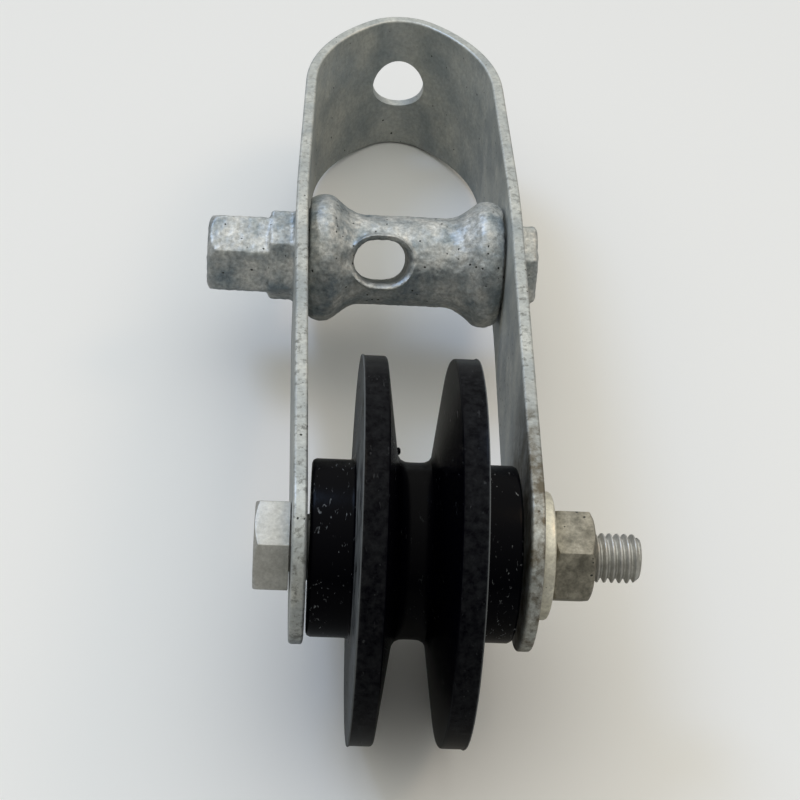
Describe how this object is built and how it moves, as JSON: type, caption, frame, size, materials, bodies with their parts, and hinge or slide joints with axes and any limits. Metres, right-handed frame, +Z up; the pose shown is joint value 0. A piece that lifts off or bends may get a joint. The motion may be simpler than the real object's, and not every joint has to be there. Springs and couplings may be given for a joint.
{
  "type": "fence wire tensioner",
  "caption": "Galvanised strap bracket holding a grooved plastic reel wheel on a bolt and a flanged winding spool with a hexagon drive end.",
  "frame": {"origin": "on the surface the part lies on, under the middle of its outline", "axes": "+X along the wheel and spool axes towards the nut, +Y along the bracket from the wheel towards the bend, +Z up. The part lies on both wheel rims and the back edge of the bend, so its legs dip about 6 degrees towards the bend"},
  "size_m": [0.0916, 0.2242, 0.0768],
  "materials": {
    "strap": "hot-dip galvanised, mottled",
    "casting": "hot-dip galvanised casting, rough",
    "wheel": "moulded black, streaky worn flanges",
    "fastener": "galvanised, slightly dirty",
    "washer": "galvanised, yellowed"
  },
  "bodies": {
    "bracket": {"bracket": "strap", "bolt": "fastener", "sleeve": "fastener", "washer": "washer", "nut": "fastener"},
    "spool": {"spool": "casting"},
    "wheel": {"wheel": "wheel"}
  },
  "joints": [
    {"name": "wheel_spin", "type": "hinge", "parent": "bracket", "child": "wheel", "pos_m": [0.00083, -0.07371, 0.0384], "axis": [1, 0, 0], "continuous": true},
    {"name": "spool_turn", "type": "hinge", "parent": "bracket", "child": "spool", "pos_m": [0.00083, 0.02395, 0.02804], "axis": [1, 0, 0], "continuous": true}
  ]
}
